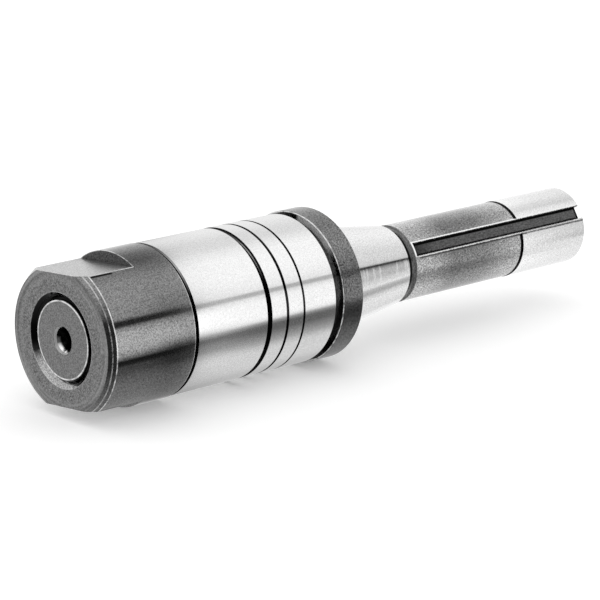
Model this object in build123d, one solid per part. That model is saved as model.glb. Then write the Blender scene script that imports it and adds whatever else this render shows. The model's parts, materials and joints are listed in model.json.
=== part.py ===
from build123d import *
import math
import os

# Stub milling arbor with an R8 shank, its spacing collars and its nut, lying on its side.
# The axis is X: the nut is at the -X end and the drawbar end at the +X end, +Z is up.
# The origin is on the axis, at the large end of the shank's taper. All sizes are in mm.

INCH = 25.4

# R8 shank
TAPER_LARGE_D = 1.25 * INCH
TAPER_INCLUDED_ANGLE = 16.85
TAPER_LENGTH = 0.9375 * INCH
TAPER_EDGE_CHAMFER = 0.5
SHANK_LENGTH = 4.0 * INCH
PILOT_D = 24.1
PILOT_LENGTH = 28.3
PILOT_CHAMFER = 0.4
NECK_D = 23.85
UNDERCUT_D = 22.9
UNDERCUT_WIDTH = 2.2
NECK_EDGE_LENGTH = 0.8
PILOT_GROOVE_D = 23.3
PILOT_GROOVE_WIDTH = 1.2

# Keyway of the shank, open at the drawbar end
SHANK_KEYWAY_WIDTH = 0.15625 * INCH
SHANK_KEYWAY_DEPTH = 0.09375 * INCH
SHANK_KEYWAY_START = 27.5
KEYWAY_EDGE_CHAMFER = 0.3
KEYWAY_TURN = 58.4

# Blind hole for the drawbar, at the root diameter of its 7/16-20 thread
DRAWBAR_THREAD_D = 0.4375 * INCH
DRAWBAR_THREAD_LENGTH = 1.0 * INCH
DRAWBAR_DRILL_D = 9.9
DRAWBAR_DRILL_DEPTH = 33.0
DRAWBAR_MOUTH_D = 13.4
DRILL_POINT_ANGLE = 118.0
DRILL_POINT_D = 0.01
CENTRE_ANGLE = 60.0

# Flange with the raised seat for the collars
LAND_LENGTH = 5.8
FLANGE_D = 45.5
FLANGE_THICKNESS = 7.8
FLANGE_EDGE_CHAMFER = 0.3
FLANGE_ROOT_CHAMFER = 0.8
SEAT_D = 1.5 * INCH
SEAT_HEIGHT = 2.45

# Journal that carries the collars or a cutter
JOURNAL_D = 1.25 * INCH
JOURNAL_SHORT_OF_NUT = 3.0
JOURNAL_CHAMFER = 1.0
KEY_SIDE = 0.3125 * INCH
KEY_FLOOR = 11.6
KEY_LENGTH = 44.0
KEY_CHAMFER = 0.4
KEY_CLEAR_OF_SEAT = 3.0

# Threaded end, at the root diameter of its 1-14 thread
THREAD_D = 1.0 * INCH
THREAD_PITCH = INCH / 14
THREAD_DEPTH = 0.6134 * THREAD_PITCH
THREAD_CLEARANCE = 0.05
THREAD_RELIEF_D = 22.6
THREAD_RELIEF_WIDTH = 3.0
END_FACE_D = 22.6
END_RECESS = 0.7
CENTRE_HOLE_MOUTH_D = 8.2
CENTRE_HOLE_DRILL_D = 3.2
CENTRE_HOLE_DRILL_LENGTH = 4.0

# Spacing collars: name, width, front chamfer and rear chamfer, from the nut to the flange
COLLARS = (
    ("collar_1_long", 27.7, 0.8, 1.4),
    ("collar_2_thin", 0.25 * INCH, 0.4, 0.5),
    ("collar_3_thin", 0.25 * INCH, 0.5, 0.4),
    ("collar_4_medium", 0.5 * INCH, 0.4, 0.4),
)
COLLAR_D = 1.75 * INCH
COLLAR_BORE_CHAMFER = 0.5
RUNNING_CLEARANCE = 0.02
KEY_SIDE_CLEARANCE = 0.06
KEY_TOP_CLEARANCE = 0.35

# Nut with two wrench flats
NUT_D = 44.8
NUT_LENGTH = 30.55
NUT_FACE_D = 41.8
NUT_CHAMFER_LENGTH = 2.1
NUT_REAR_CHAMFER = 0.6
NUT_MOUTH_D = 27.4
NUT_FLATS_ACROSS = 1.5 * INCH
NUT_FLATS_LENGTH = 17.9
NUT_EDGE_BREAK = 0.2
NUT_TURN = -4.6

# Places along the axis that follow from the sizes
taper_slope = math.tan(math.radians(TAPER_INCLUDED_ANGLE / 2))
taper_small_d = TAPER_LARGE_D - 2 * TAPER_LENGTH * taper_slope
pilot_start = SHANK_LENGTH - PILOT_LENGTH
neck_start = TAPER_LENGTH + UNDERCUT_WIDTH
flange_rear = -LAND_LENGTH
flange_front = flange_rear - FLANGE_THICKNESS
seat_front = flange_front - SEAT_HEIGHT
nut_rear = seat_front - sum(width for name, width, front, rear in COLLARS)
nut_face = nut_rear - NUT_LENGTH
journal_end = nut_rear + JOURNAL_SHORT_OF_NUT
thread_start = journal_end - THREAD_RELIEF_WIDTH
arbor_end = nut_face + END_RECESS
key_rear = seat_front - KEY_CLEAR_OF_SEAT


def turned(*stations):
    """Solid of revolution about X through stations of place and diameter."""
    outline = [(stations[0][0], 0)]
    outline += [(x, d / 2) for x, d in stations]
    outline += [(stations[-1][0], 0)]
    return revolve(make_face(Polyline(*outline, close=True)), axis=Axis.X)


def turned_ring(*stations):
    """Solid of revolution about X from a closed loop of place and diameter."""
    outline = [(x, d / 2) for x, d in stations]
    return revolve(make_face(Polyline(*outline, close=True)), axis=Axis.X)


def about_axis(angle, shape):
    """Turn a shape about the axis, from +Z towards -Y for a positive angle."""
    return Rot(X=angle) * shape


def along_x(section, start, length):
    """Prism along +X of a section drawn with its first axis on +Y and its second on +Z."""
    return extrude(Plane(origin=(start, 0, 0), x_dir=(0, 1, 0), z_dir=(1, 0, 0)) * section, length)


def cone_depth(mouth_d, drill_d, included_angle):
    """Length of a conical mouth between two diameters."""
    return (mouth_d - drill_d) / 2 / math.tan(math.radians(included_angle / 2))


def arbor_blank():
    """The turned outline of the arbor, from the threaded end to the drawbar end."""
    root_d = THREAD_D - 2 * THREAD_DEPTH
    end_chamfer = (root_d - END_FACE_D) / 2
    return turned(
        (arbor_end, END_FACE_D),
        (arbor_end + end_chamfer, root_d),
        (thread_start, root_d),
        (thread_start, THREAD_RELIEF_D),
        (journal_end, THREAD_RELIEF_D),
        (journal_end, JOURNAL_D - 2 * JOURNAL_CHAMFER),
        (journal_end + JOURNAL_CHAMFER, JOURNAL_D),
        (seat_front, JOURNAL_D),
        (seat_front, SEAT_D),
        (flange_front, SEAT_D),
        (flange_front, FLANGE_D - 2 * FLANGE_EDGE_CHAMFER),
        (flange_front + FLANGE_EDGE_CHAMFER, FLANGE_D),
        (flange_rear - FLANGE_EDGE_CHAMFER, FLANGE_D),
        (flange_rear, FLANGE_D - 2 * FLANGE_EDGE_CHAMFER),
        (flange_rear, TAPER_LARGE_D + 2 * FLANGE_ROOT_CHAMFER),
        (flange_rear + FLANGE_ROOT_CHAMFER, TAPER_LARGE_D),
        (0, TAPER_LARGE_D),
        (TAPER_LENGTH - TAPER_EDGE_CHAMFER, taper_small_d + 2 * TAPER_EDGE_CHAMFER * taper_slope),
        (TAPER_LENGTH, taper_small_d - 2 * TAPER_EDGE_CHAMFER),
        (TAPER_LENGTH, UNDERCUT_D),
        (neck_start, UNDERCUT_D),
        (neck_start + NECK_EDGE_LENGTH, NECK_D),
        (pilot_start - PILOT_GROOVE_WIDTH, NECK_D),
        (pilot_start - PILOT_GROOVE_WIDTH, PILOT_GROOVE_D),
        (pilot_start, PILOT_GROOVE_D),
        (pilot_start, PILOT_D),
        (SHANK_LENGTH - PILOT_CHAMFER, PILOT_D),
        (SHANK_LENGTH, PILOT_D - 2 * PILOT_CHAMFER),
    )


def centre_hole():
    """The 60 degree lathe centre in the threaded end."""
    cone = cone_depth(CENTRE_HOLE_MOUTH_D, CENTRE_HOLE_DRILL_D, CENTRE_ANGLE)
    drill_end = arbor_end + cone + CENTRE_HOLE_DRILL_LENGTH
    point = cone_depth(CENTRE_HOLE_DRILL_D, 0, DRILL_POINT_ANGLE)
    return turned(
        (arbor_end, CENTRE_HOLE_MOUTH_D),
        (arbor_end + cone, CENTRE_HOLE_DRILL_D),
        (drill_end, CENTRE_HOLE_DRILL_D),
        (drill_end + point, DRILL_POINT_D),
    )


def drawbar_hole():
    """Blind hole of the drawbar thread: coned mouth, threaded stretch and drilled end."""
    mouth = cone_depth(DRAWBAR_MOUTH_D, DRAWBAR_THREAD_D, CENTRE_ANGLE)
    thread_end = SHANK_LENGTH - mouth - DRAWBAR_THREAD_LENGTH
    drill_end = SHANK_LENGTH - DRAWBAR_DRILL_DEPTH
    point = cone_depth(DRAWBAR_DRILL_D, 0, DRILL_POINT_ANGLE)
    return turned(
        (drill_end - point, DRILL_POINT_D),
        (drill_end, DRAWBAR_DRILL_D),
        (thread_end, DRAWBAR_DRILL_D),
        (thread_end, DRAWBAR_THREAD_D),
        (SHANK_LENGTH - mouth, DRAWBAR_THREAD_D),
        (SHANK_LENGTH, DRAWBAR_MOUTH_D),
    )


def shank_keyway():
    """Square-ended keyway of the shank with broken edges, cut from the neck out to the drawbar end."""
    floor = PILOT_D / 2 - SHANK_KEYWAY_DEPTH
    half = SHANK_KEYWAY_WIDTH / 2
    edge = math.sqrt((NECK_D / 2) ** 2 - half**2) - KEYWAY_EDGE_CHAMFER
    rise = PILOT_D - edge
    section = make_face(Polyline(
        (-half, floor),
        (half, floor),
        (half, edge),
        (half + rise, PILOT_D),
        (-half - rise, PILOT_D),
        (-half, edge),
        close=True,
    ))
    return along_x(section, SHANK_KEYWAY_START, SHANK_LENGTH - SHANK_KEYWAY_START)


def key_blank():
    """Round-ended key as it stands in the journal, before its top edges are broken."""
    slot = SlotOverall(KEY_LENGTH, KEY_SIDE)
    middle = key_rear - KEY_LENGTH / 2
    return extrude(Pos(middle, 0, KEY_FLOOR) * slot, KEY_SIDE)


def drive_key():
    """Round-ended square key, let into the journal, that keeps collars and cutters from turning."""
    key = key_blank()
    key = chamfer(key.faces().sort_by(Axis.Z)[-1].edges(), KEY_CHAMFER)
    return about_axis(KEYWAY_TURN, key)


def arbor_body():
    """Shank, flange, journal and threaded end, one piece of hardened steel."""
    body = arbor_blank() - centre_hole() - drawbar_hole()
    body -= about_axis(KEYWAY_TURN, shank_keyway())
    body -= about_axis(KEYWAY_TURN, key_blank())
    return body


def spacing_collar(front, width, front_chamfer, rear_chamfer):
    """Ground spacing collar with a keyway along its bore."""
    bore_d = JOURNAL_D + 2 * RUNNING_CLEARANCE
    mouth_d = bore_d + 2 * COLLAR_BORE_CHAMFER
    rear = front + width
    ring = turned_ring(
        (front, mouth_d),
        (front, COLLAR_D - 2 * front_chamfer),
        (front + front_chamfer, COLLAR_D),
        (rear - rear_chamfer, COLLAR_D),
        (rear, COLLAR_D - 2 * rear_chamfer),
        (rear, mouth_d),
        (rear - COLLAR_BORE_CHAMFER, bore_d),
        (front + COLLAR_BORE_CHAMFER, bore_d),
    )
    keyway_top = KEY_FLOOR + KEY_SIDE + KEY_TOP_CLEARANCE
    keyway = Pos(Y=keyway_top / 2) * Rectangle(KEY_SIDE + 2 * KEY_SIDE_CLEARANCE, keyway_top)
    return ring - about_axis(KEYWAY_TURN, along_x(keyway, front, width))


def arbor_nut():
    """Round nut with two milled wrench flats that stop at a step."""
    bore_d = THREAD_D + 2 * THREAD_CLEARANCE
    mouth = (NUT_MOUTH_D - bore_d) / 2
    nut = turned_ring(
        (nut_face, NUT_MOUTH_D),
        (nut_face, NUT_FACE_D),
        (nut_face + NUT_CHAMFER_LENGTH, NUT_D),
        (nut_rear - NUT_REAR_CHAMFER, NUT_D),
        (nut_rear, NUT_D - 2 * NUT_REAR_CHAMFER),
        (nut_rear, NUT_MOUTH_D),
        (nut_rear - mouth, bore_d),
        (nut_face + mouth, bore_d),
    )
    beyond_flat = Pos(Y=(NUT_FLATS_ACROSS + NUT_D) / 2) * Rectangle(NUT_D, NUT_D)
    waste = along_x(beyond_flat, nut_face, NUT_FLATS_LENGTH)
    for turn in (0, 180):
        nut -= about_axis(turn, waste)
    flat_edges = nut.edges().filter_by(Axis.X) + nut.edges().filter_by(GeomType.HYPERBOLA)
    nut = chamfer(flat_edges, NUT_EDGE_BREAK)
    return about_axis(NUT_TURN, nut)


pieces = {
    "arbor_body": arbor_body(),
    "drive_key": drive_key(),
    "arbor_nut": arbor_nut(),
}
collar_front = nut_rear
for name, width, front_chamfer, rear_chamfer in COLLARS:
    pieces[name] = spacing_collar(collar_front, width, front_chamfer, rear_chamfer)
    collar_front += width

os.makedirs("parts", exist_ok=True)
for name, piece in pieces.items():
    piece.label = name
    export_step(piece, f"parts/{name}.step")
    box = piece.bounding_box()
    print(name, "volume", round(piece.volume), "from", round(box.min.X, 2), "to", round(box.max.X, 2))
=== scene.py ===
"""Looks of the stub milling arbor: oxide nut, ground collars, hardened shank, real threads, studio light.

Everything is in metres in the part's own frame: X runs along the axis from the nut to the drawbar end,
+Z is up, and the origin is on the axis at the large end of the shank's taper. The camera is on the -Y
side.
"""
import json
import math

import bpy
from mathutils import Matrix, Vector


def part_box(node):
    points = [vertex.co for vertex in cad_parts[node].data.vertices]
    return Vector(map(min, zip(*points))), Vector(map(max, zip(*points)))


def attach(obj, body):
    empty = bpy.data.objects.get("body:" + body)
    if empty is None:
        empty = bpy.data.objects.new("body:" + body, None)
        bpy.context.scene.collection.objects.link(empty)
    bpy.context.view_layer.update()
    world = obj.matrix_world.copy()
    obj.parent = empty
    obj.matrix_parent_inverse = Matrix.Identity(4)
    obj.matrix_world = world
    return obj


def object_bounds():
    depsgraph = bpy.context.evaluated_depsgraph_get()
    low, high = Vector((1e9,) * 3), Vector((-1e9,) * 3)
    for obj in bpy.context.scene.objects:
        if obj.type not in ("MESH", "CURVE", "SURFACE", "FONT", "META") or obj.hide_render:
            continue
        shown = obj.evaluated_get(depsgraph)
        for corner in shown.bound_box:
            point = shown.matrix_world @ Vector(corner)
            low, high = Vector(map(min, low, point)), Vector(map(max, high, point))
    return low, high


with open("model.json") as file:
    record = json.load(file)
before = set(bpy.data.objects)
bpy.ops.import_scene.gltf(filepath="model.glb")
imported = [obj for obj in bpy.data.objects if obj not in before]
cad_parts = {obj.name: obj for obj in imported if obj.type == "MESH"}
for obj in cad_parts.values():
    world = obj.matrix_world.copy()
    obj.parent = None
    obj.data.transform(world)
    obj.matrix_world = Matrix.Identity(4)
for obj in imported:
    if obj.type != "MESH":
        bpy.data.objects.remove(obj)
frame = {"nodes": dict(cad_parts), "record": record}

MM = 0.001
cad_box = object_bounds()

# Camera, from the ellipses of the object's circles in the photograph; lens and sensor are in mm, and the
# furthest distance that it sees is in metres
CAMERA_PLACE = Vector((-569.7, -611.8, 219.4)) * MM
CAMERA_DIRECTION = Vector((0.6515, 0.7124, -0.2609))
LENS = 173.85
SENSOR = 36.0
CLIP_END = 50.0

# Places along the axis, in mm
NUT_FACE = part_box("arbor_nut")[0].x / MM
NUT_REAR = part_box("arbor_nut")[1].x / MM
ARBOR_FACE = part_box("arbor_body")[0].x / MM
ARBOR_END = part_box("arbor_body")[1].x / MM
SEAT_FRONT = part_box("collar_4_medium")[1].x / MM
COLLAR_JOINTS = [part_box(name)[0].x / MM for name in (
    "collar_1_long", "collar_2_thin", "collar_3_thin", "collar_4_medium")]
FLANGE_FRONT = -13.6
FLANGE_REAR = -5.8
TAPER_END = 23.81
TAPER_EDGE = 0.5
NECK_START = 26.01
NECK_EDGE = 0.8
PILOT_GROOVE = 72.1
PILOT_START = 73.3
THREAD_RELIEF_WIDTH = 3.0
KEYWAY_START = 27.5

# Diameters and other sizes across the axis, in mm; the turns are in degrees from +Z towards -Y
ARBOR_FACE_D = 22.6
CENTRE_HOLE_D = 8.2
FLANGE_D = 45.5
FLANGE_EDGE = 0.3
NECK_D = 23.85
PILOT_D = 24.1
KEYWAY_FLOOR = 9.67
KEYWAY_WIDTH = 3.97
KEYWAY_EDGE = 0.3
KEYWAY_TURN = 58.4
NUT_D = 44.8
NUT_FACE_D = 41.8
NUT_CHAMFER = 2.1
NUT_REAR_CHAMFER = 0.6
NUT_MOUTH_D = 27.4
NUT_BORE_D = 25.5
NUT_TURN = -4.6
NUT_FLATS_ACROSS = 38.1
NUT_FLATS_LENGTH = 17.9

# Threads, in mm: nominal diameter, pitch, how far the drawbar's runs in, and the room at a thread's ends
ARBOR_THREAD_D = 25.4
ARBOR_THREAD_PITCH = 25.4 / 14
DRAWBAR_THREAD_D = 11.1125
DRAWBAR_THREAD_PITCH = 25.4 / 20
DRAWBAR_THREAD_LENGTH = 25.4
DRAWBAR_MOUTH_D = 13.4
DRAWBAR_MOUTH_SLOPE = math.tan(math.radians(30))
THREAD_END_ROOM = 0.02
# Form of the ridges: slope of the flanks, depth and width of the crest as shares of the pitch, and, in mm,
# the room on each flank between arbor and nut and how deep a ridge's foot is sunk
FLANK_SLOPE = math.tan(math.radians(30))
OUTER_DEPTH = 0.6134
INNER_DEPTH = 0.54
OUTER_CREST = 1 / 8
INNER_CREST = 1 / 4
FLANK_ROOM = 0.04
FOOT_SUNK = 0.06
STEPS_PER_TURN = 60

# Patterns, in mm. Real grinding marks are about 0.01 mm apart, turning marks 0.1 mm, and the grain of heat
# treatment is finer still; all are drawn as coarse as they need to be to show
GRINDING_SPACING = 0.3
TURNING_SPACING = 0.4
FACE_RING_SPACING = 0.9
TAPER_RING_SPACING = 1.3
GRAIN = 0.42
DRAW_LINE_SPACING = 0.25
DRAW_LINE_LENGTH = 20 / 3
WEAR_PATCH = 5 / 3
# How much grain is mixed into the relief of the marks, and how fast marks change round the axis
GRAIN_RELIEF = 0.5
MARKS_ROUND = 0.8
# Levels of a noise pattern that take the dark and the light tone, and those between which wear along an
# edge, drawn also as a painted highlight, grows from its weakest to its full strength
TONE_LEVELS = (0.33, 0.67)
WEAR_LEVELS = (0.35, 0.55)
WEAKEST_WEAR = 0.35

# Roughness of oxide steel as turned and as faced or milled, and of arbor steel as treated and as ground
OXIDE_ROUGHNESS = (0.06, 0.32)
ARBOR_ROUGHNESS = (0.13, 0.1)
# How much of the mirror shine is missing from worn edges, which are also painted highlights, the nut's faced
# ends and the arbor's pale edges, among them the painted highlights of the centre hole's lip and the
# keyway's edges
WEAR_HIGHLIGHT_DULL = 0.7
FACED_DULL = 0.2
LIP_DULL = 0.8
LIT_RIM_DULL = 0.9
NECK_EDGE_DULL = 0.8
KEYWAY_EDGE_DULL = 0.6

# Bright lines along worn edges, which are also painted highlights, in mm: their widths, how far the one
# round the arbor's face lies inside its edge, and the shares of a width where a line starts to fade and is
# gone
WEAR_HIGHLIGHT_LINE = 0.34
WIDE_WEAR_HIGHLIGHT_LINE = 0.45
FACE_LINE_IN = 0.15
LINE_CORE = 0.3
LINE_REACH = 0.7

# Masks, in mm: how soft their edges are, then the small distances by which they take in or leave out a
# face, a wall or a neighbour, and a large one that clears the end of a piece
SOFT = 0.04
HAIR = 0.02
ON_FACE = 0.03
ON_WALL = 0.05
CLEAR = 0.1
PAST = 1.0
# Faces by how much they face along the axis, from 0 on a cylinder to 1 on an end face
CHAMFERS = (0.3, 0.95)
END_FACES = (0.97, 1.1)

# Collars, in mm: the foot of a chamfer before and behind a joint, kept in full painted shade, and where the
# front joints end
FOOT_BEFORE = 0.3
FOOT_BEHIND = 0.45
FOOT_SOFT = 0.1
FRONT_JOINTS_END = COLLAR_JOINTS[1] + 2.0

# Nut, in mm: reach of the shade before the step; how far before the step the worn line along a flat, also a
# painted highlight, has its gap; the dark line from and to these depths under a flat, and how far behind the
# chamfer it starts; how far below the axis the mouth's painted light starts; how far inside its rim the
# face's rings start and show fully
STEP_SHADE = 4.0
WEAR_HIGHLIGHT_GAP = 7.0
WEAR_HIGHLIGHT_GAP_FADE = 1.0
UNDER_FLAT = (0.15, 0.55)
UNDER_FLAT_START = 0.4
MOUTH_LIGHT_BELOW = 4.0
MOUTH_LIGHT_SOFT = 6.0
RIM_START = 5.0
RIM_FULL = 1.0

# Threaded end, in mm: how far in it can be seen, the centre hole's lip, which is a painted highlight, the
# ring inside it that carries a painted highlight, and how far below its middle that highlight starts; what
# counts as below is turned by some degrees
END_DEPTH = 9.0
LIP_WIDTH = 0.45
HOLE_RING = 0.9
HOLE_RING_SOFT = 0.4
HOLE_LOWER_PART = 2.0
HOLE_LOWER_SOFT = 1.0
HOLE_LIGHT_TURN = 35.0

# Flange, in mm: width of the dark rear edge, and of the rim of the front face that catches the light
DARK_EDGE = 0.5
LIT_RIM = 2.3
LIT_RIM_SOFT = 0.5

# Pale rings on the taper: where they lie in degrees down from the top, the levels of the noise pattern
# between which they appear, and how strong they get
RINGS_DOWN = (71.0, 88.0)
RINGS_SOFT = 5.0
RING_LEVELS = (0.52, 0.6)
RING_STRENGTH = 0.5

# Undercut and neck, in mm: how far behind the taper the undercut is in shade, and how soft the edges are of
# its shade, of the neck's edge and of the groove before the pilot
UNDERCUT_SHADE = 1.35
UNDERCUT_SOFT = 0.3
NECK_EDGE_SOFT = 0.5
GROOVE_SOFT = 0.1

# Keyway, in mm: where the painted shade at its start ends along the axis, how ragged its edges are, how far
# the dark slot lies below the surface and reaches over its upper and lower edges, the painted shade of its
# corners from and to these distances from an edge, and the reach of the painted highlights along its edges.
# Levels are those of the grain, and strengths run from 0 to 1
SLOT_SHADE_END = 38.0
SLOT_SHADE_STRENGTH = 0.9
RAGGED = 0.18
RAGGED_LEVELS = (0.3, 0.7)
SLOT_BELOW = 0.04
SLOT_OVER_UPPER = 0.2
SLOT_OVER_LOWER = 0.08
SLOT_SOFT = 0.02
UPPER_CORNER = (-0.4, 0.3)
LOWER_CORNER = (-0.1, 0.9)
CORNER_SOFT = 0.15
START_CORNER = 0.3
END_CORNER = 0.8
UPPER_HIGHLIGHT = 0.25
LOWER_HIGHLIGHT = 0.2
HIGHLIGHT_START = 0.6
HIGHLIGHT_START_OVER = 0.3
SIDES_START = 0.5
# Thin dark line below the keyway's lower edge highlight, in mm, with levels and strength as above
UNDER_EDGE_START = 1.0
UNDER_EDGE_REACH = 0.7
UNDER_EDGE_LEVELS = (0.42, 0.52)
UNDER_EDGE_STRENGTH = 0.85


def linear(hex_colour):
    """Linear RGBA of an sRGB colour written as hex."""
    channels = [int(hex_colour[i:i + 2], 16) / 255 for i in (1, 3, 5)]
    return [c / 12.92 if c <= 0.04045 else ((c + 0.055) / 1.055) ** 2.4 for c in channels] + [1.0]


def add(tree, kind, inputs=(), output=0, stops=(), **settings):
    """Add a node with its settings and links and give back one output, or none from an output node.

    The inputs, in order or by socket, are values to set or sockets to link; the stops fill a colour ramp.
    """
    node = tree.nodes.new(kind)
    for name, value in settings.items():
        setattr(node, name, value)
    for socket, value in inputs.items() if isinstance(inputs, dict) else enumerate(inputs):
        if isinstance(value, bpy.types.NodeSocket):
            tree.links.new(value, node.inputs[socket])
        else:
            node.inputs[socket].default_value = value
    for i, (place, colour) in enumerate(stops):
        elements = node.color_ramp.elements
        element = elements[i] if i < len(elements) else elements.new(place)
        element.position = place
        element.color = colour
    return node.outputs[output] if node.outputs else None


def between(tree, value, low, high, soft=SOFT):
    """Mask that is 1 while a value is between low and high, with edges as soft as given."""
    rise = add(tree, "ShaderNodeMapRange", (value, low - soft / 2, low + soft / 2, 0.0, 1.0),
               interpolation_type="SMOOTHSTEP")
    fall = add(tree, "ShaderNodeMapRange", (value, high - soft / 2, high + soft / 2, 1.0, 0.0),
               interpolation_type="SMOOTHSTEP")
    return where_all(tree, rise, fall)


def where_all(tree, *masks):
    """Mask of what lies inside every one of several masks; a number weakens them."""
    result = masks[0]
    for mask in masks[1:]:
        result = add(tree, "ShaderNodeMath", (result, mask), operation="MULTIPLY")
    return result


def where_any(tree, *masks):
    """Mask of what lies inside at least one of several masks."""
    result = masks[0]
    for mask in masks[1:]:
        result = add(tree, "ShaderNodeMath", (result, mask), operation="MAXIMUM")
    return result


def graded(tree, value, *steps):
    """Number that follows a value through steps of place and level, straight from one to the next."""
    low, high = steps[0][0], steps[-1][0]
    share = add(tree, "ShaderNodeMapRange", (value, low, high, 0.0, 1.0))
    return add(tree, "ShaderNodeValToRGB", (share,), stops=[
        ((place - low) / (high - low), [level] * 3 + [1.0]) for place, level in steps])


def covered(tree, colour, *layers):
    """Colour with others laid over it, each given by its mask and its own colour."""
    for mask, over in layers:
        colour = add(tree, "ShaderNodeMix", {0: mask, 6: colour, 7: over}, output=2, data_type="RGBA")
    return colour


def turn_down(tree, vector):
    """Angle of a point or direction round the axis in radians, from straight up towards the camera side."""
    _, y, z = add(tree, "ShaderNodeSeparateXYZ", (vector,)).node.outputs
    towards_camera = add(tree, "ShaderNodeMath", (y, -1.0), operation="MULTIPLY")
    return add(tree, "ShaderNodeMath", (towards_camera, z), operation="ARCTAN2")


def degrees_down(tree, place):
    """Angle of a point round the axis in degrees, from straight up towards the camera side."""
    return add(tree, "ShaderNodeMath", (turn_down(tree, place), 180 / math.pi), operation="MULTIPLY")


def away_from_axis(tree, vector):
    """Distance of a point from the axis, or the part of a direction that points away from it."""
    spoke = add(tree, "ShaderNodeVectorMath", (vector, (0.0, 1.0, 1.0)), operation="MULTIPLY")
    return add(tree, "ShaderNodeVectorMath", (spoke,), output="Value", operation="LENGTH")


def across_and_height(tree, place, turn):
    """How far a point is beside a plane through the axis, and how high; the turn is from +Z to -Y."""
    turned = add(tree, "ShaderNodeVectorRotate", {0: place, "Angle": math.radians(-turn)},
                 rotation_type="X_AXIS")
    return add(tree, "ShaderNodeSeparateXYZ", (turned,)).node.outputs[1:]


def surface_places(tree):
    """A surface point on its own piece: its place, its x and its distance from the axis in mm.

    The last of the four is the surface unrolled, for machining marks: x, distance from the axis, and angle
    in radians from the far side up.
    """
    own = add(tree, "ShaderNodeTexCoord", output="Object")
    place = add(tree, "ShaderNodeVectorMath", {0: own, "Scale": 1 / MM}, operation="SCALE")
    x, y, z = add(tree, "ShaderNodeSeparateXYZ", (place,)).node.outputs
    radius = away_from_axis(tree, place)
    angle = add(tree, "ShaderNodeMath", (z, y), operation="ARCTAN2")
    unrolled = add(tree, "ShaderNodeCombineXYZ", (x, radius, angle))
    return place, x, radius, unrolled


def facing_along(tree, least, most):
    """Mask of the faces that face along the axis, either way, by a share between least and most."""
    normal = add(tree, "ShaderNodeNewGeometry", output="True Normal")
    along = add(tree, "ShaderNodeSeparateXYZ", (normal,))
    along = add(tree, "ShaderNodeMath", (along,), operation="ABSOLUTE")
    return between(tree, along, least, most)


def near_edges(tree, first, second, edges, width=WEAR_HIGHLIGHT_LINE):
    """Mask of thin lines along edges, each given by its place in two coordinates and by its strength."""
    lines = []
    spot = add(tree, "ShaderNodeCombineXYZ", (first, second))
    for at_first, at_second, strength in edges:
        away = add(tree, "ShaderNodeVectorMath", (spot, (at_first, at_second, 0.0)), output="Value",
                   operation="DISTANCE")
        lines.append(add(tree, "ShaderNodeMapRange", (
            away, width * LINE_CORE, width * LINE_REACH, strength, 0.0)))
    return where_any(tree, *lines)


def unevenly(tree, place, mask):
    """A mask that weakens here and there, as wear along an edge does; it breaks up the worn lines, which are
    also painted highlights.
    """
    patches = add(tree, "ShaderNodeTexNoise", {"Vector": place, "Scale": 1 / WEAR_PATCH, "Detail": 3.0})
    strength = add(tree, "ShaderNodeMapRange", (patches, *WEAR_LEVELS, WEAKEST_WEAR, 1.0))
    return where_all(tree, mask, strength)


def fine_grain(tree, place):
    """Fine, uneven spots; real grain is far finer and is drawn at the size of GRAIN so that it shows."""
    return add(tree, "ShaderNodeTexNoise", {
        "Vector": place, "Scale": 1 / GRAIN, "Detail": 3.0, "Roughness": 0.75})


def machining_marks(tree, unrolled, spacing):
    """Height of the fine rings that grinding or turning leaves, which fade in and out round the axis."""
    stretched = add(tree, "ShaderNodeVectorMath", (unrolled, (1 / spacing, 1 / spacing, MARKS_ROUND)),
                    operation="MULTIPLY")
    return add(tree, "ShaderNodeTexNoise", {"Vector": stretched, "Scale": 1.0, "Detail": 2.0})


def grainy_marks(tree, grain, marks):
    """Height of machining marks with some of the grain on top."""
    return add(tree, "ShaderNodeMath", (grain, GRAIN_RELIEF, marks), operation="MULTIPLY_ADD")


def toned(tree, pattern, dark, light):
    """Colour that follows a noise pattern from a dark tone to a light one."""
    stops = zip(TONE_LEVELS, (linear(dark), linear(light)))
    return add(tree, "ShaderNodeValToRGB", (pattern,), stops=stops)


def new_material(name):
    """Empty material and its node tree."""
    material = bpy.data.materials.new(name)
    material.use_nodes = True
    material.node_tree.nodes.clear()
    return material, material.node_tree


def placed(name, data):
    """New object in the scene from its data."""
    item = bpy.data.objects.new(name, data)
    bpy.context.scene.collection.objects.link(item)
    return item


def dress(piece, material):
    """Give a piece one material."""
    piece.data.materials.clear()
    piece.data.materials.append(material)


def finish(tree, colour, height, depth, metallic, roughness, drawn_out):
    """Metal surface with a relief of the given depth in mm; its rings draw the gloss out along the axis."""
    relief = add(tree, "ShaderNodeBump", {"Height": height, "Strength": 1.0, "Distance": depth * MM})
    round_axis = add(tree, "ShaderNodeTangent", direction_type="RADIAL", axis="X")
    surface = add(tree, "ShaderNodeBsdfPrincipled", {
        "Base Color": colour, "Metallic": metallic, "Roughness": roughness, "Normal": relief,
        "Anisotropic": drawn_out, "Anisotropic Rotation": 0.25, "Tangent": round_axis})
    add(tree, "ShaderNodeOutputMaterial", {"Surface": surface})


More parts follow.
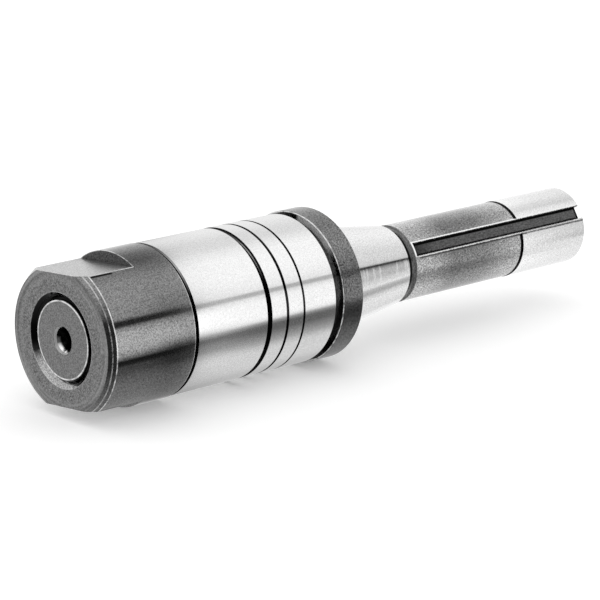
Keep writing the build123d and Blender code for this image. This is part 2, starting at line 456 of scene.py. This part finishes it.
def ground_steel():
    """Hardened steel off a cylindrical grinder: near mirror bright, with fine rings that draw each
    reflection out along the axis a little; the small chamfers, left from turning, are painted black as
    shade and dark reflection."""
    material, tree = new_material("ground_hardened_steel")
    place, x, _, unrolled = surface_places(tree)
    angle_down = degrees_down(tree, place)
    # The chamfers' painted black, which stands for shade and dark reflection, is weaker where they catch
    # light:
    # wide ones from above, apart from their foot, and those of the rear joints from the bright strip
    feet = where_any(tree, *(between(tree, x, joint - FOOT_BEFORE, joint + FOOT_BEHIND, FOOT_SOFT)
                             for joint in COLLAR_JOINTS))
    out_of_light = graded(tree, angle_down, (-10.0, 1.0), (12.0, 0.85), (35.0, 0.6), (60.0, 1.0))
    front_joints = between(tree, x, NUT_REAR, FRONT_JOINTS_END)
    out_of_strip = graded(tree, angle_down, (70.0, 1.0), (76.0, 0.6), (88.0, 0.6), (93.0, 1.0))
    # Painted shade: the chamfers near black, standing for shade and dark reflection in the joints
    painted_chamfer_shade = where_all(tree, facing_along(tree, *CHAMFERS), where_any(tree, feet, out_of_light),
                      where_any(tree, front_joints, out_of_strip))
    bright = toned(tree, fine_grain(tree, place), "#E0E0E0", "#FFFFFF")
    finish(tree, covered(tree, bright, (painted_chamfer_shade, linear("#141414"))),
           machining_marks(tree, unrolled, GRINDING_SPACING), depth=0.0003,
           metallic=1.0, roughness=0.06, drawn_out=0.3)
    return material


def black_oxide_steel():
    """Turned and milled steel out of a hot black oxide bath: satin dark grey with a fine grain, paler on
    the milled flats, and worn to bare metal in thin bright lines along its edges, which are also painted
    highlights; painted shade darkens its mouth and its rear chamfer."""
    material, tree = new_material("black_oxide_steel")
    place, x, radius, unrolled = surface_places(tree)
    grain = fine_grain(tree, place)
    chamfers = facing_along(tree, *CHAMFERS)
    # Distances from the nut's upright and level middle planes, with and without their signs
    across, height = across_and_height(tree, place, NUT_TURN)
    aside = add(tree, "ShaderNodeMath", (across,), operation="ABSOLUTE")
    off_level = add(tree, "ShaderNodeMath", (height,), operation="ABSOLUTE")

    # Pale flats above and below; the upper one is shaded at the foot of its step's dark wall
    flat = NUT_FLATS_ACROSS / 2
    step = NUT_FACE + NUT_FLATS_LENGTH
    beyond_flat = between(tree, off_level, flat - CLEAR, NUT_D)
    above = between(tree, height, 0.0, NUT_D)
    flats = where_all(tree, beyond_flat, between(tree, x, NUT_FACE - PAST, step - ON_WALL))
    foot_of_step = where_all(tree, flats, above, graded(tree, x, (step - STEP_SHADE, 0.0), (step, 0.4)))
    wall = where_all(tree, beyond_flat, above, between(tree, x, step - ON_WALL, step + ON_WALL))
    gap = step - WEAR_HIGHLIGHT_GAP
    under_flat = where_all(
        tree, between(tree, x, NUT_FACE + NUT_CHAMFER + UNDER_FLAT_START, gap - WEAR_HIGHLIGHT_GAP_FADE),
        between(tree, off_level, flat - UNDER_FLAT[1], flat - UNDER_FLAT[0]))

    # Grainy end face with turned rings towards its rim; the mouth is painted dark as shade, and its lower
    # part, which faces up, has painted light
    face = between(tree, x, NUT_FACE - CLEAR, NUT_FACE + HAIR)
    face_r = NUT_FACE_D / 2
    face_rim = where_all(tree, face, graded(
        tree, radius, (face_r - RIM_START, 0.0), (face_r - RIM_FULL, 0.5)))
    face_rings = machining_marks(tree, unrolled, FACE_RING_SPACING)
    mouth = where_all(tree, chamfers, between(tree, radius, 0.0, NUT_MOUTH_D / 2 + HAIR))
    mouth_painted_light = where_all(tree, mouth, between(tree, height, -NUT_D, -MOUTH_LIGHT_BELOW, MOUTH_LIGHT_SOFT))
    # Painted shade: the rear chamfer near black, for the shade in its joint with the first collar
    rear_chamfer_shade = where_all(tree, chamfers, between(tree, x, NUT_REAR - NUT_REAR_CHAMFER, NUT_REAR + PAST))

    # Edges worn bright, drawn also as painted highlights: round the front chamfer, round the rear, along the
    # flats and over the step
    turned_edges = near_edges(tree, x, radius, (
        (NUT_FACE + NUT_CHAMFER, NUT_D / 2, 1.0), (NUT_FACE, NUT_MOUTH_D / 2, 0.3),
        (NUT_FACE + NUT_CHAMFER / 2, (NUT_FACE_D + NUT_D) / 4, 0.55)))
    # The rear edge's bright line is wear and a painted highlight, shown only from 25 degrees down towards
    # the camera side
    rear_edge = where_all(tree, graded(tree, degrees_down(tree, place), (25.0, 0.0), (45.0, 0.75)),
                          near_edges(tree, x, radius, ((NUT_REAR - NUT_REAR_CHAMFER, NUT_D / 2, 1.0),)))
    corner = math.sqrt((NUT_D / 2) ** 2 - flat ** 2)
    flat_sides = where_all(
        tree, graded(tree, x, (NUT_FACE, 0.8), (gap - WEAR_HIGHLIGHT_GAP_FADE, 0.8), (gap, 0.1),
                     (gap + WEAR_HIGHLIGHT_GAP_FADE, 1.0), (step - CLEAR, 1.0), (step + CLEAR, 0.0)),
        near_edges(tree, aside, height, ((corner, flat, 1.0),)))
    step_edge = where_all(tree, between(tree, height, flat, NUT_D),
                          near_edges(tree, x, radius, ((step, NUT_D / 2, 1.0),)))
    wear_and_highlight = unevenly(tree, place, where_any(tree, turned_edges, rear_edge, flat_sides, step_edge))

    colour = covered(
        tree, toned(tree, grain, "#585858", "#A8A8A8"),
        (face, toned(tree, grain, "#363636", "#A8A8A8")),
        (face_rim, toned(tree, face_rings, "#4C4C4C", "#B8B8B8")),
        (under_flat, linear("#242424")),
        (flats, toned(tree, grain, "#989898", "#F0F0F0")),
        (foot_of_step, linear("#484848")),
        (wall, toned(tree, grain, "#000000", "#787878")),
        (mouth, linear("#2A2A2A")),
        (mouth_painted_light, toned(tree, grain, "#747474", "#D8D8D8")),
        (rear_chamfer_shade, linear("#1C1C1C")),
        (wear_and_highlight, linear("#F0F0F0")))
    end_faces = facing_along(tree, *END_FACES)
    dull = where_any(tree, where_all(tree, wear_and_highlight, WEAR_HIGHLIGHT_DULL), where_all(tree, end_faces, FACED_DULL))
    metallic = add(tree, "ShaderNodeMath", (1.0, dull), operation="SUBTRACT")
    faced = where_any(tree, flats, end_faces)
    roughness = add(tree, "ShaderNodeMapRange", (faced, 0.0, 1.0, *OXIDE_ROUGHNESS))
    marks = machining_marks(tree, unrolled, TURNING_SPACING)
    finish(tree, colour, grainy_marks(tree, grain, marks), depth=0.0003,
           metallic=metallic, roughness=roughness, drawn_out=0.3)
    return material


def key_steel():
    """Bright drawn key stock: smooth and light grey, with faint draw lines along its length."""
    material, tree = new_material("bright_drawn_key_steel")
    place = surface_places(tree)[0]
    stretch = (1 / DRAW_LINE_LENGTH, 1 / DRAW_LINE_SPACING, 1 / DRAW_LINE_SPACING)
    drawn = add(tree, "ShaderNodeVectorMath", (place, stretch), operation="MULTIPLY")
    lines = add(tree, "ShaderNodeTexNoise", {"Vector": drawn, "Scale": 1.0, "Detail": 2.0})
    finish(tree, toned(tree, lines, "#B0B0B0", "#CACACA"), lines, depth=0.003,
           metallic=1.0, roughness=0.3, drawn_out=0.0)
    return material


def threaded_end(tree, place, x, radius):
    """Threaded end of the arbor: a thread painted dark as shade, and a centre hole painted dark inside as
    shade, with a painted highlight low on its inner ring and a lip painted pale as a highlight.

    Like the next three, it gives back layers, each a mask and its colour, and a mask of what is dull.
    """
    end = between(tree, x, ARBOR_FACE + ON_WALL, ARBOR_FACE + END_DEPTH)
    thread = where_all(tree, end, between(tree, radius, ARBOR_FACE_D / 2 - CLEAR, ARBOR_THREAD_D))
    height = across_and_height(tree, place, HOLE_LIGHT_TURN)[1]
    hole_r = CENTRE_HOLE_D / 2
    hole_painted_highlight = where_all(tree, end, between(tree, radius, -PAST, hole_r))
    hole_painted_shade = where_all(tree, hole_painted_highlight, where_any(
        tree, between(tree, height, -HOLE_LOWER_PART, PILOT_D, HOLE_LOWER_SOFT),
        between(tree, radius, -PAST, hole_r - HOLE_RING, HOLE_RING_SOFT)))
    lip_painted_highlight = where_all(tree, end, between(tree, radius, hole_r - LIP_WIDTH, hole_r + CLEAR))
    # Painted shade in the thread and inside the centre hole; painted highlights low on the hole's inner ring
    # and round its lip
    layers = (
        (thread, linear("#141414")),
        (hole_painted_highlight, linear("#FFFFFF")),
        (hole_painted_shade, linear("#161616")),
        (lip_painted_highlight, linear("#B4B4B4")))
    return layers, where_all(tree, lip_painted_highlight, LIP_DULL)


def flange(tree, x, radius, angle_down, grain):
    """Flange: speckled and shaded below, with a front face that catches the light and a dark rear edge."""
    rim = FLANGE_D / 2
    whole = between(tree, x, FLANGE_FRONT + ON_FACE, FLANGE_REAR + ON_FACE)
    shade = where_all(tree, whole, graded(
        tree, angle_down, (50.0, 0.0), (64.0, 0.3), (86.0, 0.25), (98.0, 0.6), (122.0, 0.5), (144.0, 0.35)))
    rear_edge = where_all(
        tree, facing_along(tree, *CHAMFERS), between(tree, radius, rim - DARK_EDGE, FLANGE_D),
        between(tree, x, FLANGE_REAR - FLANGE_EDGE - HAIR, FLANGE_REAR + CLEAR))
    lit_face = where_all(tree, between(tree, x, FLANGE_FRONT - ON_FACE, FLANGE_FRONT + ON_FACE),
                         between(tree, radius, rim - LIT_RIM, FLANGE_D, LIT_RIM_SOFT),
                         graded(tree, angle_down, (5.0, 0.0), (8.0, 1.0), (46.0, 1.0), (58.0, 0.0)))
    layers = (
        (whole, toned(tree, grain, "#1C1C1C", "#A4A4A4")),
        (shade, linear("#181818")),
        (rear_edge, linear("#303030")),
        (lit_face, toned(tree, grain, "#8C8C8C", "#D4D4D4")))
    return layers, where_all(tree, lit_face, LIT_RIM_DULL)


def neck(tree, x, grain):
    """Neck: heat treatment skin, palest at its ends and darkest half way, between undercut and groove."""
    whole = between(tree, x, NECK_START, PILOT_GROOVE)
    level = graded(tree, x, (NECK_START, 0.74), (34.0, 0.64), (43.0, 0.33), (56.0, 0.37),
                   (PILOT_GROOVE, 0.79))
    skin = add(tree, "ShaderNodeMix", {0: 1.0, 6: level, 7: toned(tree, grain, "#5C5C5C", "#FFFFFF")},
               output=2, data_type="RGBA", blend_type="MULTIPLY")
    edge = between(tree, x, NECK_START, NECK_START + NECK_EDGE, NECK_EDGE_SOFT)
    # Painted shade: the groove before the pilot is painted near black
    groove_painted_shade = between(tree, x, PILOT_GROOVE, PILOT_START - HAIR, GROOVE_SOFT)
    undercut = between(tree, x, TAPER_END - TAPER_EDGE, NECK_START)
    undercut_shade = between(
        tree, x, TAPER_END - TAPER_EDGE / 2, TAPER_END + UNDERCUT_SHADE, UNDERCUT_SOFT)
    layers = (
        (whole, skin),
        (edge, toned(tree, grain, "#3C3C3C", "#848484")),
        (groove_painted_shade, linear("#1C1C1C")),
        (undercut, toned(tree, grain, "#3C3C3C", "#6C6C6C")),
        (undercut_shade, linear("#101010")))
    return layers, where_all(tree, edge, NECK_EDGE_DULL)


def keyway(tree, place, x, radius, grain):
    """Keyway: grey floor, corners painted black as shade, broken edges with painted highlights and a thin
    dark line below the lower one.
    """
    across, height = across_and_height(tree, place, KEYWAY_TURN)
    ragged = add(tree, "ShaderNodeMapRange", (grain, *RAGGED_LEVELS, -RAGGED, RAGGED))
    across = add(tree, "ShaderNodeMath", (across, ragged), operation="ADD")
    half = KEYWAY_WIDTH / 2
    edge = half + KEYWAY_EDGE
    upper = between(tree, height, KEYWAY_FLOOR - CLEAR, PILOT_D)
    shank_r = add(tree, "ShaderNodeMapRange", (
        x, PILOT_START - ON_WALL, PILOT_START, NECK_D / 2, PILOT_D / 2))
    depth = add(tree, "ShaderNodeMath", (shank_r, radius), operation="SUBTRACT")

    slot = where_all(
        tree, upper, between(tree, depth, SLOT_BELOW, PILOT_D, SLOT_SOFT),
        between(tree, x, KEYWAY_START, ARBOR_END + CLEAR),
        between(tree, across, -half - SLOT_OVER_LOWER, half + SLOT_OVER_UPPER, SLOT_SOFT))
    # Painted shade on the slot's floor: darkest at its start and in its corners
    slot_start = where_all(tree, slot, add(tree, "ShaderNodeMapRange", (
        x, KEYWAY_START, SLOT_SHADE_END, SLOT_SHADE_STRENGTH, 0.0)))
    slot_corner_shade = where_all(tree, slot, where_any(
        tree, between(tree, across, half + UPPER_CORNER[0], half + UPPER_CORNER[1], CORNER_SOFT),
        between(tree, across, -half + LOWER_CORNER[0], -half + LOWER_CORNER[1], CORNER_SOFT),
        between(tree, x, KEYWAY_START, KEYWAY_START + START_CORNER),
        between(tree, x, ARBOR_END - END_CORNER, ARBOR_END + CLEAR)))
    # Painted highlights along the keyway's broken edges and round its start
    highlight_sides = where_all(
        tree, between(tree, x, KEYWAY_START - SIDES_START, ARBOR_END - CLEAR),
        where_any(tree, between(tree, across, half, edge + UPPER_HIGHLIGHT),
                  between(tree, across, -edge - LOWER_HIGHLIGHT, -half)))
    highlight_start = where_all(tree, between(tree, x, KEYWAY_START - HIGHLIGHT_START, KEYWAY_START),
                             between(tree, across, -edge, edge + HIGHLIGHT_START_OVER))
    painted_edge_highlight = where_all(tree, upper, where_any(tree, highlight_sides, highlight_start))
    # A thin dark line below the lower painted highlight
    dark_line_under_edge = where_all(tree, upper, between(tree, x, KEYWAY_START + UNDER_EDGE_START, ARBOR_END + CLEAR),
                     between(tree, across, -edge - UNDER_EDGE_REACH, -edge - LOWER_HIGHLIGHT, CORNER_SOFT),
                     add(tree, "ShaderNodeMapRange", (grain, *UNDER_EDGE_LEVELS, 0.0, UNDER_EDGE_STRENGTH)))
    layers = (
        (dark_line_under_edge, linear("#242424")),
        (painted_edge_highlight, linear("#F8F8F8")),
        (slot, toned(tree, grain, "#242424", "#707070")),
        (slot_start, linear("#121212")),
        (slot_corner_shade, linear("#0E0E0E")))
    return layers, where_all(tree, painted_edge_highlight, KEYWAY_EDGE_DULL)


def hardened_steel():
    """Through-hardened arbor steel, ground bright where it fits the spindle and the collars, and left with
    its dark, speckled heat treatment skin elsewhere; worn bright along its sharpest edges, lines that are
    also painted highlights; painted shade and highlights at its threaded end, groove and keyway."""
    material, tree = new_material("hardened_arbor_steel")
    place, x, radius, unrolled = surface_places(tree)
    angle_down = degrees_down(tree, place)
    grain = fine_grain(tree, place)

    # Ground stretches; coarser rings on the taper scatter the light and show as pale lines across dark
    taper = between(tree, x, FLANGE_REAR + CLEAR, TAPER_END - TAPER_EDGE)
    ground = where_any(tree, taper, between(tree, x, PILOT_START + HAIR, ARBOR_END + PAST),
                       between(tree, x, NUT_REAR + THREAD_RELIEF_WIDTH, SEAT_FRONT))
    rings = machining_marks(tree, unrolled, TAPER_RING_SPACING)
    rings = where_all(tree, taper, between(tree, angle_down, *RINGS_DOWN, RINGS_SOFT),
                      add(tree, "ShaderNodeMapRange", (rings, *RING_LEVELS, 0.0, RING_STRENGTH)))

    end_layers, dull_end = threaded_end(tree, place, x, radius)
    flange_layers, dull_flange = flange(tree, x, radius, angle_down, grain)
    neck_layers, dull_neck = neck(tree, x, grain)
    keyway_layers, dull_keyway = keyway(tree, place, x, radius, grain)
    # Worn edges round the arbor's face and the flange's front, drawn also as painted highlights
    wear_and_highlight = unevenly(tree, place, near_edges(tree, x, radius, (
        (ARBOR_FACE, ARBOR_FACE_D / 2 - FACE_LINE_IN, 1.0),
        (FLANGE_FRONT, FLANGE_D / 2 - FLANGE_EDGE / 2, 1.0)), WIDE_WEAR_HIGHLIGHT_LINE))
    colour = covered(
        tree, toned(tree, grain, "#5E5E5E", "#A0A0A0"),
        (ground, toned(tree, grain, "#D4D4D4", "#FFFFFF")),
        *end_layers, *flange_layers, *neck_layers, *keyway_layers,
        (wear_and_highlight, linear("#F4F4F4")))
    dull = where_any(tree, rings, dull_end, dull_flange, dull_neck, dull_keyway,
                     where_all(tree, wear_and_highlight, WEAR_HIGHLIGHT_DULL))
    metallic = add(tree, "ShaderNodeMath", (1.0, dull), operation="SUBTRACT")
    roughness = add(tree, "ShaderNodeMapRange", (ground, 0.0, 1.0, *ARBOR_ROUGHNESS))
    marks = machining_marks(tree, unrolled, GRINDING_SPACING)
    finish(tree, colour, grainy_marks(tree, grain, marks), depth=0.001,
           metallic=metallic, roughness=roughness, drawn_out=0.3)
    return material


def thread_ridge(name, pitch, start, end, foot_r, crest_r, crest_width, steps, limit):
    """Closed ridge of a right-hand thread between two places on the axis; limit(x) caps its height."""
    outward = 1 if crest_r > foot_r else -1
    rise = abs(crest_r - foot_r) + FOOT_SUNK
    foot_width = crest_width + 2 * rise * FLANK_SLOPE
    section = ((foot_r - outward * FOOT_SUNK, -foot_width / 2), (crest_r, -crest_width / 2),
               (crest_r, crest_width / 2), (foot_r - outward * FOOT_SUNK, foot_width / 2))
    first = math.floor((start - foot_width / 2) / pitch * steps)
    last = math.ceil((end + foot_width / 2) / pitch * steps)
    corners = []
    for i in range(first, last + 1):
        angle = 2 * math.pi * i / steps
        for radius, offset in section:
            x = min(max(pitch * i / steps + offset, start), end)
            radius = outward * min(outward * radius, outward * limit(x))
            corners.append((x * MM, radius * math.cos(angle) * MM, radius * math.sin(angle) * MM))
    faces = [(0, 1, 2, 3), tuple(len(corners) - j for j in (1, 2, 3, 4))]
    for i in range(last - first):
        for j in range(4):
            a, b = 4 * i + j, 4 * i + (j + 1) % 4
            faces.append((b, a, a + 4, b + 4))
    if outward > 0:
        faces = [face[::-1] for face in faces]
    mesh = bpy.data.meshes.new(name)
    mesh.from_pydata(corners, [], faces)
    return placed(name, mesh)


def threads():
    """Ridges of the arbor's thread, the nut's thread and the drawbar thread."""
    pitch = ARBOR_THREAD_PITCH
    crest = ARBOR_THREAD_D / 2
    root = crest - OUTER_DEPTH * pitch
    mouth = NUT_MOUTH_D / 2
    bore = NUT_BORE_D / 2
    countersink = mouth - bore
    outer = thread_ridge(
        "arbor_thread", pitch, ARBOR_FACE + THREAD_END_ROOM, NUT_REAR - THREAD_END_ROOM, root, crest,
        pitch * OUTER_CREST - 2 * FLANK_ROOM, STEPS_PER_TURN,
        lambda x: min(ARBOR_FACE_D / 2 + x - ARBOR_FACE, root + NUT_REAR - x))
    inner = thread_ridge(
        "nut_thread", pitch, NUT_FACE + countersink, NUT_REAR - countersink, bore,
        crest - INNER_DEPTH * pitch, pitch * INNER_CREST - 2 * FLANK_ROOM, STEPS_PER_TURN,
        lambda x: mouth - min(x - NUT_FACE, NUT_REAR - x))
    pitch = DRAWBAR_THREAD_PITCH
    bore = DRAWBAR_THREAD_D / 2
    mouth = DRAWBAR_MOUTH_D / 2
    cone = (mouth - bore) / DRAWBAR_MOUTH_SLOPE
    drawbar = thread_ridge(
        "drawbar_thread", pitch, ARBOR_END - cone - DRAWBAR_THREAD_LENGTH, ARBOR_END - cone, bore,
        bore - INNER_DEPTH * pitch, pitch * INNER_CREST, STEPS_PER_TURN // 2,
        lambda x: mouth - (ARBOR_END - x) * DRAWBAR_MOUTH_SLOPE)
    return outer, inner, drawbar


# What metal sees of the studio: brightness against the angle from straight up towards the camera side, in
# degrees. Strip lights, cards and dark gaps run along the arbor, and each list holds for one stretch of it,
# as surfaces further towards the drawbar end reflect what lies further out that way.
NOSE_STRIPS = (
    (-180, 0.43), (-140, 0.39), (-120, 0.74), (-94, 0.78), (-40, 0.86), (0, 1.01), (30, 0.7), (55, 0.23),
    (62, 0.07), (128, 0.07), (150, 0.23), (180, 0.43),
)
NUT_STRIPS = (
    (-180, 0.54), (-160, 0.54), (-140, 0.5), (-120, 0.8), (-94, 1.1), (-78, 1.0), (-62, 0.75), (-46, 0.45),
    (-30, 0.4), (-20, 0.5), (-6, 0.75), (4, 0.93), (26, 1.0), (52, 0.98), (60, 0.8), (64, 0.07), (70, 0.07),
    (73, 0.75), (80, 1.38), (96, 1.6), (106, 1.4), (112, 1.15), (117, 0.55), (121, 0.03), (126, 0.05),
    (130, 0.2), (138, 0.25), (146, 0.36), (162, 0.5), (180, 0.54),
)
NUT_REAR_STRIPS = (
    (-180, 0.35), (-150, 0.41), (-138, 0.38), (-120, 0.62), (-94, 0.96), (-78, 0.82), (-62, 0.7),
    (-46, 0.4), (-30, 0.26), (-22, 0.32), (-14, 0.46), (2, 0.75), (18, 0.87), (34, 0.78), (50, 0.46),
    (58, 0.36), (64, 0.0), (70, 0.0), (74, 0.57), (82, 1.2), (90, 1.42), (99, 1.42), (105, 0.95),
    (110, 0.4), (115, 0.0), (138, 0.0), (146, 0.1), (154, 0.2), (166, 0.28), (180, 0.35),
)
LONG_COLLAR_STRIPS = (
    (-180, 0.68), (-158, 0.53), (-142, 0.42), (-126, 0.36), (-110, 0.38), (-102, 0.47), (-94, 0.62),
    (-86, 0.76), (-70, 0.84), (-38, 0.78), (-22, 0.87), (-6, 0.98), (10, 1.06), (34, 1.08), (50, 1.08),
    (63, 1.0), (66, 0.68), (70, 0.68), (73, 0.93), (80, 1.06), (98, 1.1), (105, 1.0), (110, 0.8),
    (115, 0.52), (121, 0.24), (130, 0.4), (138, 0.45), (146, 0.66), (154, 0.8), (162, 0.82), (180, 0.68),
)
COLLAR_STRIPS = (
    (-180, 0.72), (-165, 0.68), (-150, 0.57), (-135, 0.52), (-114, 0.6), (-108, 0.85), (-90, 0.9),
    (-70, 0.92), (-54, 0.88), (-38, 0.8), (-22, 0.8), (-10, 0.93), (4, 1.04), (34, 1.06), (52, 1.0),
    (64, 0.9), (66, 0.48), (70, 0.48), (73, 0.85), (80, 1.03), (106, 1.04), (110, 0.88), (114, 0.32),
    (119, 0.12), (128, 0.13), (138, 0.26), (146, 0.38), (154, 0.58), (162, 0.7), (180, 0.71),
)
NECK_STRIPS = (
    (-180, 1.4), (-165, 1.25), (-140, 0.95), (-100, 1.15), (-60, 1.45), (-38, 1.4), (-12, 1.0), (0, 0.95),
    (18, 1.2), (60, 1.05), (70, 0.7), (72, 0.2), (75, 0.2), (78, 1.0), (98, 1.35), (112, 1.5), (118, 1.35),
    (126, 0.95), (138, 0.95), (146, 1.2), (154, 1.32), (170, 1.45), (180, 1.4),
)
PILOT_STRIPS = (
    (-180, 0.9), (-100, 1.06), (-60, 0.92), (-30, 0.88), (-12, 0.76), (0, 0.7), (18, 0.98), (60, 0.98),
    (68, 0.78), (71, 0.2), (77, 0.2), (80, 0.66), (98, 0.62), (106, 0.53), (114, 0.45), (118, 0.6),
    (126, 0.93), (140, 0.9), (180, 0.9),
)
TAPER_STRIPS = (
    (-180, 0.88), (-168, 0.82), (-158, 0.66), (-140, 0.68), (-120, 0.95), (-100, 1.05), (-80, 0.95),
    (-66, 1.05), (-20, 1.02), (10, 0.88), (20, 0.82), (40, 0.81), (58, 0.72), (63, 0.65), (64, 0.03),
    (69, 0.03), (73, 0.3), (84, 0.56), (99, 0.55), (107, 0.7), (115, 0.8), (123, 0.97), (129, 0.6),
    (134, 0.5), (141, 0.45), (146, 0.66), (154, 0.83), (162, 0.92), (180, 0.88),
)
# How far a reflection leans along the axis where one stretch gives way to the next, and how gradually
STRETCHES = (
    (NUT_STRIPS, -0.12, 0.05), (NUT_REAR_STRIPS, 0.75, 0.006), (LONG_COLLAR_STRIPS, 0.77, 0.002),
    (COLLAR_STRIPS, 0.788, 0.014), (NECK_STRIPS, 0.895, 0.01), (PILOT_STRIPS, 0.978, 0.004),
    (TAPER_STRIPS, 1.15, 0.06),
)
# Level in the lists that a ramp's full white stands for
BRIGHTEST = 1.7
# Seen from the camera, a collar's near side leans more than its top by its radius over the camera's
# distance, both in mm; the near side is so many degrees down from the top
NEAR_SIDE_LEAN = 22.3 / 650
TOWARDS_CAMERA = 70.1


def strips(tree, once_round, levels):
    """Brightness of one stretch of the studio once round the axis, as a share of the brightest level."""
    stops = [((at + 180) / 360, [level / BRIGHTEST] * 3 + [1.0]) for at, level in levels]
    return add(tree, "ShaderNodeValToRGB", (once_round,), stops=stops)


def studio():
    """White tent with strip lights along the arbor, seen by metal, and a plain level for all else."""
    world = bpy.data.worlds.new("studio")
    bpy.context.scene.world = world
    world.use_nodes = True
    tree = world.node_tree
    tree.nodes.clear()
    direction = add(tree, "ShaderNodeTexCoord", output="Generated")
    angle = turn_down(tree, direction)
    once_round = add(tree, "ShaderNodeMapRange", (angle, -math.pi, math.pi, 0.0, 1.0))

    # Lean of a reflection along the axis, evened out between a collar's top and its near side; a surface
    # has turned from the camera by half the angle between its reflection and the camera
    along = add(tree, "ShaderNodeSeparateXYZ", (direction,))
    lean = add(tree, "ShaderNodeMath", (along, away_from_axis(tree, direction)), operation="DIVIDE")
    facing = add(tree, "ShaderNodeMath", (angle, 0.5, -math.radians(TOWARDS_CAMERA) / 2),
                 operation="MULTIPLY_ADD")
    near_side = add(tree, "ShaderNodeMath", (facing,), operation="COSINE")
    near_side = add(tree, "ShaderNodeMath", (near_side,), operation="ABSOLUTE")
    evened = add(tree, "ShaderNodeMath", (near_side, -NEAR_SIDE_LEAN, 1.0), operation="MULTIPLY_ADD")
    lean = add(tree, "ShaderNodeMath", (lean, evened), operation="MULTIPLY")

    picture = strips(tree, once_round, NOSE_STRIPS)
    for levels, start, soft in STRETCHES:
        past = add(tree, "ShaderNodeMapRange", (lean, start - soft, start + soft, 0.0, 1.0))
        picture = covered(tree, picture, (past, strips(tree, once_round, levels)))
    seen_by_metal = add(tree, "ShaderNodeBackground", (picture, BRIGHTEST))
    plain = add(tree, "ShaderNodeBackground", (linear("#FFFFFF"), 1.0))
    metal_looks = add(tree, "ShaderNodeLightPath", output="Is Glossy Ray")
    result = add(tree, "ShaderNodeMixShader", (metal_looks, plain, seen_by_metal))
    add(tree, "ShaderNodeOutputWorld", {"Surface": result})


# Half the side of the sheet of paper in metres, and how much it glows for the camera
PAPER_REACH = 8.0
PAPER_LIFT = 0.25


def floor():
    """Pale matt paper that the arbor lies on; it glows a little for the camera so that it prints white."""
    low = cad_box[0][2]
    mesh = bpy.data.meshes.new("floor")
    mesh.from_pydata([(x * PAPER_REACH, y * PAPER_REACH, low) for x, y in (
        (-1, -1), (1, -1), (1, 1), (-1, 1))], [], [(0, 1, 2, 3)])
    sheet = placed("floor", mesh)
    material, tree = new_material("pale_matt_paper")
    camera_looks = add(tree, "ShaderNodeLightPath", output="Is Camera Ray")
    lift = add(tree, "ShaderNodeMath", (camera_looks, PAPER_LIFT), operation="MULTIPLY")
    surface = add(tree, "ShaderNodeBsdfPrincipled", {
        "Base Color": linear("#F4F4F4"), "Roughness": 0.9, "Emission Color": linear("#FFFFFF"),
        "Emission Strength": lift})
    add(tree, "ShaderNodeOutputMaterial", {"Surface": surface})
    dress(sheet, material)
    sheet.visible_glossy = False


def camera():
    """Camera at the photograph's viewing angle."""
    data = bpy.data.cameras.new("camera")
    data.lens = LENS
    data.sensor_width = SENSOR
    data.sensor_fit = "HORIZONTAL"
    data.clip_end = CLIP_END
    eye = placed("camera", data)
    eye.location = CAMERA_PLACE
    eye.rotation_euler = CAMERA_DIRECTION.to_track_quat("-Z", "Y").to_euler()
    bpy.context.scene.camera = eye


finishes = {
    "hardened_steel": hardened_steel(),
    "key_steel": key_steel(),
    "black_oxide_steel": black_oxide_steel(),
    "ground_steel": ground_steel(),
}
for subpart in frame["record"]["subparts"]:
    dress(frame["nodes"][subpart["node"]], finishes[subpart["material_slot"]])

outer, inner, drawbar = threads()
for ridge, body, slot in ((outer, "arbor", "hardened_steel"), (inner, "nut", "black_oxide_steel"),
                          (drawbar, "arbor", "hardened_steel")):
    dress(ridge, finishes[slot])
    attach(ridge, body)

studio()
floor()
camera()
bpy.context.scene.view_settings.view_transform = "Standard"
